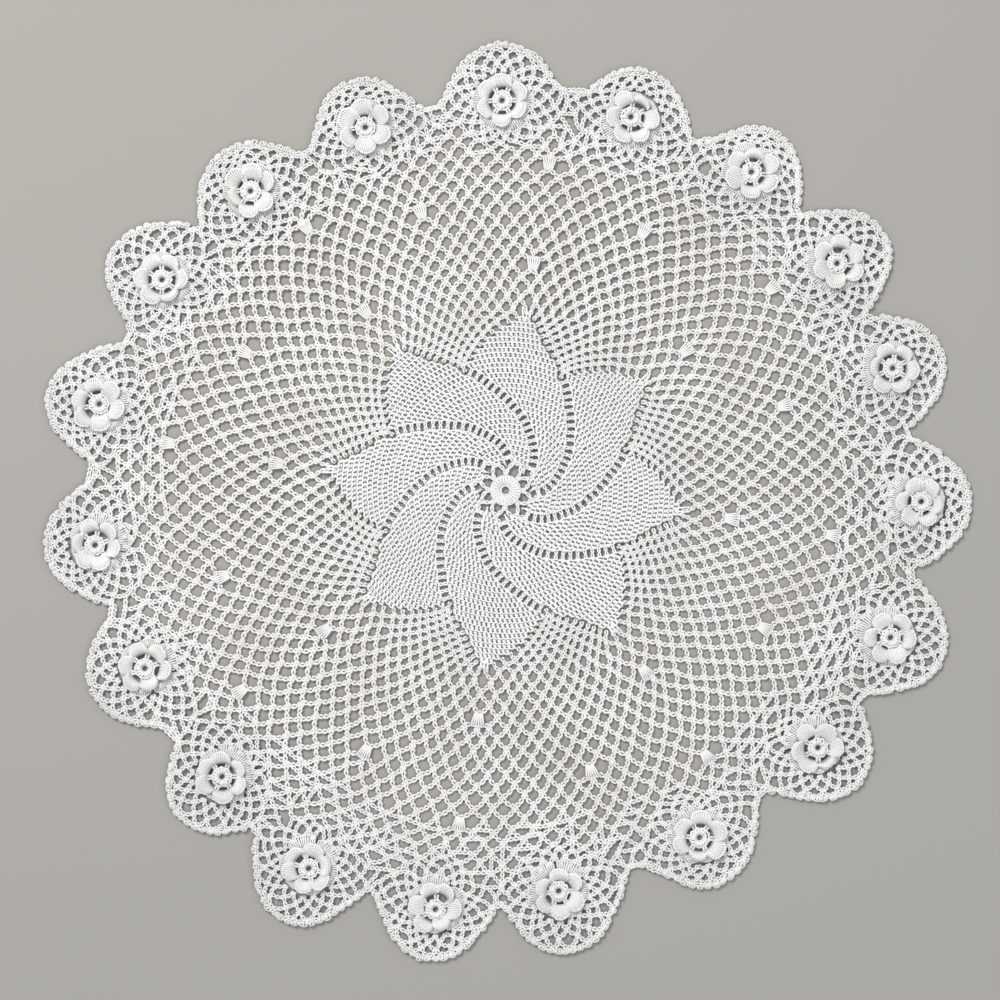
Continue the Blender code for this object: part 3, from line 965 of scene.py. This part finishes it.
def crosses(p, q, a, b):
    """Whether the segment p-q crosses any of the segments a-b, their ends left out."""
    def area(u, v, w):
        return (v[..., 0] - u[..., 0]) * (w[..., 1] - u[..., 1]) - (v[..., 1] - u[..., 1]) * (w[..., 0] - u[..., 0])
    p, q = p + 0.10 * (q - p), q + 0.10 * (p - q)
    return bool(np.any((area(a, b, p) * area(a, b, q) < 0.0) & (area(p, q, a) * area(p, q, b) < 0.0)))


def nearest(p):
    """The medallion whose rose is closest to p."""
    return min(medallions, key=lambda m: hypot(m.centre[0] - p[0], m.centre[1] - p[1]))


def join_all():
    """Short chains between the open nodes of neighbours: medallion to medallion, and medallion to net."""
    nodes = [(-1, p) for p in RIM] + [(m.k, p) for m in medallions for p in m.open]
    place = np.array([p[:2] for _, p in nodes])
    pairs = []
    for i in range(len(nodes)):
        d = np.hypot(place[:, 0] - place[i, 0], place[:, 1] - place[i, 1])
        for n in np.nonzero((d > 1.7) & (d < 7.4))[0]:
            if n > i and nodes[i][0] != nodes[n][0]:
                pairs.append((abs(d[n] - 3.2), i, int(n)))
    pairs.sort()
    start = np.array([s[0] for s in RUNS])
    end = np.array([s[1] for s in RUNS])
    middle = 0.5 * (start + end)
    ties = []
    degree = {}
    for _, i, n in pairs:
        if degree.get(i, 0) > 1 or degree.get(n, 0) > 1:
            continue
        p, q = place[i], place[n]
        c = 0.5 * (p + q)
        if np.min(np.hypot(middle[:, 0] - c[0], middle[:, 1] - c[1])) < 1.55:
            continue
        if ties and min(hypot(c[0] - t[0], c[1] - t[1]) for t in ties) < 2.3:
            continue
        if crosses(p, q, start, end):
            continue
        nearest(c).tie(nodes[i][1], nodes[n][1])
        start, end = np.vstack([start, p]), np.vstack([end, q])
        ties.append(c)
        for e in (i, n):
            degree[e] = degree.get(e, 0) + 1
    for e in degree:
        owner, p = nodes[e]
        m = medallions[owner] if owner >= 0 else min(medallions, key=lambda m: np.linalg.norm((m.centre - p)[:2]))
        knot(m.yarn, p * (1, 1, 0), unit((p - m.centre) * (1, 1, 0)), 0.9, 0.05)
    return len(ties)


def fill_gaps():
    """Chains across each opening near a notch that is still much wider than a mesh of the net."""
    made = 0
    circle = [(m.centre[:2] + m.ray(20.0 * i)[:2] * ROSE_R, m.centre[:2] + m.ray(20.0 * i + 20.0)[:2] * ROSE_R)
              for m in medallions for i in range(18)]
    for m in medallions:
        nb, nr = m.me["notch_bearing"], m.me["notch_r"]
        hub = at(nb, 0.5 * (nr + 122.0))[:2]
        cells = [at(nb + degrees(x / r), r)[:2] for r in np.arange(121.0, nr - 0.6, 0.8) for x in np.arange(-26.0, 26.1, 0.8)]
        cells = np.array([c for c in cells if np.min(np.hypot(ROSES[:, 0] - c[0], ROSES[:, 1] - c[1])) > 10.4])
        a, b = np.array([s[0] for s in RUNS + circle]), np.array([s[1] for s in RUNS + circle])
        near = np.hypot(0.5 * (a + b)[:, 0] - hub[0], 0.5 * (a + b)[:, 1] - hub[1]) < 36.0
        a, b = a[near], b[near]
        knots = np.array([p[:2] for p in KNOTS])
        knots = knots[np.hypot(knots[:, 0] - hub[0], knots[:, 1] - hub[1]) < 34.0]

        def away(a, b):
            d = b - a
            t = np.clip(((cells[:, None] - a[None]) * d[None]).sum(2) / np.maximum((d * d).sum(1), 1e-9)[None], 0.0, 1.0)
            return np.linalg.norm(a[None] + t[..., None] * d[None] - cells[:, None], axis=2).min(1)

        free = away(a, b)
        load = np.zeros(len(knots))
        for _ in range(30):
            i = int(np.argmax(free))
            if free[i] < 2.25:
                break
            c = cells[i]
            pick = np.nonzero(np.hypot(knots[:, 0] - c[0], knots[:, 1] - c[1]) < 9.0)[0]
            close = knots[pick]
            best, cost = None, 99.0
            for u in range(len(close)):
                for v in range(u + 1, len(close)):
                    p, q = close[u], close[v]
                    l = float(np.linalg.norm(q - p))
                    if not 2.5 < l < 12.0:
                        continue
                    t = min(1.0, max(0.0, float(np.dot(c - p, q - p)) / (l * l)))
                    off = float(np.linalg.norm(p + t * (q - p) - c))
                    dear = l + 2.0 * off + 1.6 * (load[pick[u]] + load[pick[v]])
                    if off < 1.45 and dear < cost and not crosses(p, q, a, b):
                        best, cost = (p, q, pick[u], pick[v]), dear
            if best is None:
                free[np.hypot(cells[:, 0] - c[0], cells[:, 1] - c[1]) < 1.3] = 0.0
                continue
            p, q = best[:2]
            load[[best[2], best[3]]] += 1.0
            nearest(0.5 * (p + q)).tie(np.append(p, 0.0), np.append(q, 0.0))
            knots = np.vstack([knots, 0.5 * (p + q)])
            load = np.append(load, 0.0)
            a, b = np.vstack([a, p]), np.vstack([b, q])
            free = np.minimum(free, away(p[None], q[None]))
            made += 1
    return made


ties_made = join_all() + fill_gaps()
for m in medallions:
    m.edging()
    m.lay()
for m, other in zip(medallions, medallions[1:] + medallions[:1]):
    # the small loop of chain that carries the edging from one medallion to the next
    p, q = min(((p, q) for p in m.ends for q in other.ends), key=lambda e: np.linalg.norm(e[0] - e[1]))
    gap_ = float(np.linalg.norm(p - q))
    top = 0.5 * (p + q) + unit((p + q) * (1, 1, 0)) * 0.22 * gap_
    path = np.stack([p, 0.5 * (p + top) + unit(top * (1, 1, 0)) * 0.08 * gap_, top, 0.5 * (q + top) + unit(top * (1, 1, 0)) * 0.08 * gap_, q])
    m.edge.chain(path, max(2, int(round(path_length(path) / LOOP_CHAIN))), m.cord)
roses = []
for k in range(N_MED):
    roses.append(Yarn())
    rose(roses[-1], k)


# ------------------------------------------------------------------ materials
def cotton(name, light, shade, ply=1.0):
    """Mercerised cotton yarn: plies that wind round each strand, painted shade in the grooves between the plies, fine
    fuzz, and slow changes of tone.
    """
    mat = bpy.data.materials.new(name)
    mat.use_nodes = True
    nt = mat.node_tree
    n, l = nt.nodes, nt.links
    bsdf = n["Principled BSDF"]
    geo = n.new("ShaderNodeTexCoord")
    slow = n.new("ShaderNodeTexNoise")
    slow.inputs["Scale"].default_value = 34.0
    slow.inputs["Detail"].default_value = 3.0
    l.new(geo.outputs["Object"], slow.inputs["Vector"])
    fuzz = n.new("ShaderNodeTexNoise")
    fuzz.inputs["Scale"].default_value = 2600.0
    fuzz.inputs["Detail"].default_value = 2.0
    l.new(geo.outputs["Object"], fuzz.inputs["Vector"])
    al = n.new("ShaderNodeAttribute")
    al.attribute_name = "yarn_along"
    sd = n.new("ShaderNodeAttribute")
    sd.attribute_name = "yarn_side"
    k1 = n.new("ShaderNodeMath")
    k1.operation = "MULTIPLY"
    k1.inputs[1].default_value = 2.0 * pi / 0.62
    l.new(al.outputs["Fac"], k1.inputs[0])
    k2 = n.new("ShaderNodeMath")
    k2.operation = "MULTIPLY_ADD"
    k2.inputs[1].default_value = 2.2
    l.new(sd.outputs["Fac"], k2.inputs[0])
    l.new(k1.outputs[0], k2.inputs[2])
    wave = n.new("ShaderNodeMath")
    wave.operation = "SINE"
    l.new(k2.outputs[0], wave.inputs[0])
    height = n.new("ShaderNodeMath")
    height.operation = "MULTIPLY_ADD"
    height.inputs[1].default_value = 0.35
    l.new(wave.outputs[0], height.inputs[0])
    l.new(fuzz.outputs["Fac"], height.inputs[2])
    bump = n.new("ShaderNodeBump")
    bump.inputs["Strength"].default_value = 0.45 * ply
    bump.inputs["Distance"].default_value = 0.00012
    l.new(height.outputs[0], bump.inputs["Height"])
    l.new(bump.outputs["Normal"], bsdf.inputs["Normal"])
    ramp = n.new("ShaderNodeValToRGB")
    ramp.color_ramp.elements[0].position = 0.30
    ramp.color_ramp.elements[0].color = (*shade, 1.0)
    ramp.color_ramp.elements[1].position = 0.62
    ramp.color_ramp.elements[1].color = (*light, 1.0)
    l.new(slow.outputs["Fac"], ramp.inputs["Fac"])
    # painted shade: where the ply wave is low, in the grooves between the plies, the base colour is darkened to nine
    # tenths
    painted_ply_shade = n.new("ShaderNodeMapRange")
    painted_ply_shade.inputs["From Min"].default_value = -1.0
    painted_ply_shade.inputs["From Max"].default_value = 0.2
    painted_ply_shade.inputs["To Min"].default_value = 0.90
    painted_ply_shade.inputs["To Max"].default_value = 1.0
    l.new(wave.outputs[0], painted_ply_shade.inputs["Value"])
    mix = n.new("ShaderNodeMix")
    mix.data_type = "RGBA"
    mix.blend_type = "MULTIPLY"
    mix.inputs["Factor"].default_value = 1.0
    l.new(ramp.outputs["Color"], mix.inputs["A"])
    l.new(painted_ply_shade.outputs["Result"], mix.inputs["B"])
    l.new(mix.outputs["Result"], bsdf.inputs["Base Color"])
    rough = n.new("ShaderNodeMapRange")
    rough.inputs["To Min"].default_value = 0.62
    rough.inputs["To Max"].default_value = 0.86
    l.new(fuzz.outputs["Fac"], rough.inputs["Value"])
    l.new(rough.outputs["Result"], bsdf.inputs["Roughness"])
    bsdf.inputs["Sheen Weight"].default_value = 0.15
    bsdf.inputs["Sheen Roughness"].default_value = 0.5
    bsdf.inputs["Specular IOR Level"].default_value = 0.35
    return mat


# One cotton in three copies. The close-stitch copy is lighter: painted light that offsets the shade the dense stitches
# cast on one another. The copy for the roses, medallion loops and edging is darker: painted shade, so that the raised
# petals don't glare white under the lights.
net_cotton = cotton("cotton_net", (0.88, 0.868, 0.845), (0.81, 0.793, 0.765))
blade_cotton_painted_light = cotton("cotton_close_painted_light", (0.885, 0.887, 0.882), (0.845, 0.846, 0.84))
rose_cotton_painted_shade = cotton("cotton_rose_painted_shade", (0.845, 0.842, 0.83), (0.775, 0.768, 0.75))


# ------------------------------------------------------------------ objects
def add_piece(yarn, name, material, cad):
    ob = yarn.build(name, material)
    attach(ob, "root")
    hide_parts(cad)
    return ob


def add_sheet(yarn, name, material, cad):
    ob = add_piece(yarn, name, material, cad)
    return ob


def star_area():
    total = pi * (bar_r(SLOT_ROUNDS) * MM) ** 2
    m = 0
    while bar_r(SLOT_ROUNDS) + ROW * (m + 1) <= 64.6:
        rm = bar_r(SLOT_ROUNDS) + ROW * (m + 0.5)
        w = radians(along(FLANK_CW, rm) - along(FLANK_CCW, rm)) * rm
        total += 8.0 * w * ROW * MM * MM
        m += 1
    return total


star = star_area()
pieces = [
    add_sheet(centre, "pinwheel", blade_cotton_painted_light, "ground"),
]
for i in range(SECTORS):
    pieces.append(add_sheet(wedges[i], "net_wedge_%d" % (i + 1), net_cotton, "ground"))
for i, quarter in enumerate(("ne", "se", "sw", "nw")):
    pieces.append(add_sheet(net[i], "net_" + quarter, net_cotton, "ground"))
triangles = sum(y.count() for y in [centre] + wedges + net)
loops_made = 0
for k, m in enumerate(medallions):
    loops_made += m.loops
    cad = "medallion_%02d" % (k + 1)
    ob = add_piece(roses[k], "rose_%02d" % (k + 1), rose_cotton_painted_shade, cad)
    edge = add_piece(m.edge, "edging_%02d" % (k + 1), rose_cotton_painted_shade, cad)
    pieces.append(add_sheet(m.yarn, "medallion_loops_%02d" % (k + 1), rose_cotton_painted_shade, cad))
    print("   cord %.2f, with its edging %.2f of the region less the rose" % (m.cord, (half_area(m.yarn) + half_area(m.edge)) / (m.area * MM * MM)))
    triangles += m.yarn.count() + m.edge.count() + roses[k].count()
print("ties", ties_made, "close stitches", close_stitches, "net loops", loops_built, "medallion loops", loops_made, "rose", roses[0].count(),
      "all", triangles)

# ------------------------------------------------------------------ stage, light and camera
bpy.ops.mesh.primitive_plane_add(size=4.0, location=(0.0, 0.0, 0.0))
floor = bpy.context.object
floor.name = "floor"
floor_mat = bpy.data.materials.new("floor_paint")
floor_mat.use_nodes = True
fb = floor_mat.node_tree.nodes["Principled BSDF"]
fb.inputs["Base Color"].default_value = (0.34, 0.325, 0.30, 1.0)
fb.inputs["Roughness"].default_value = 0.8
floor.data.materials.append(floor_mat)

world = bpy.data.worlds.new("studio")
bpy.context.scene.world = world
world.use_nodes = True
world.node_tree.nodes["Background"].inputs["Color"].default_value = (0.93, 0.96, 1.0, 1.0)
world.node_tree.nodes["Background"].inputs["Strength"].default_value = 0.54


def soft_light(name, place, aim, size, power, colour):
    data = bpy.data.lights.new(name, "AREA")
    data.shape = "DISK"
    data.size = size
    data.energy = power
    data.color = colour
    ob = bpy.data.objects.new(name, data)
    bpy.context.scene.collection.objects.link(ob)
    ob.location = place
    d = np.array(aim) - np.array(place)
    ob.rotation_euler = (atan2(hypot(d[0], d[1]), -d[2]), 0.0, atan2(d[1], d[0]) - pi / 2.0)
    return ob


soft_light("key", (-0.55, 0.75, 1.15), (0, 0, 0), 0.55, 16.5, (1.0, 0.985, 0.96))
soft_light("fill", (0.9, -0.5, 1.2), (0, 0, 0), 1.2, 7.0, (0.96, 0.98, 1.0))

cam_data = bpy.data.cameras.new("camera")
cam_data.sensor_width = 36.0
cam_data.lens = 75.0
cam = bpy.data.objects.new("camera", cam_data)
bpy.context.scene.collection.objects.link(cam)
cam.location = ((SHIFT[0] - 1.98) * MM, (SHIFT[1] - 3.46) * MM, 0.752)
cam.rotation_euler = (0.0, 0.0, 0.0)
bpy.context.scene.camera = cam
bpy.context.scene.view_settings.view_transform = "Standard"
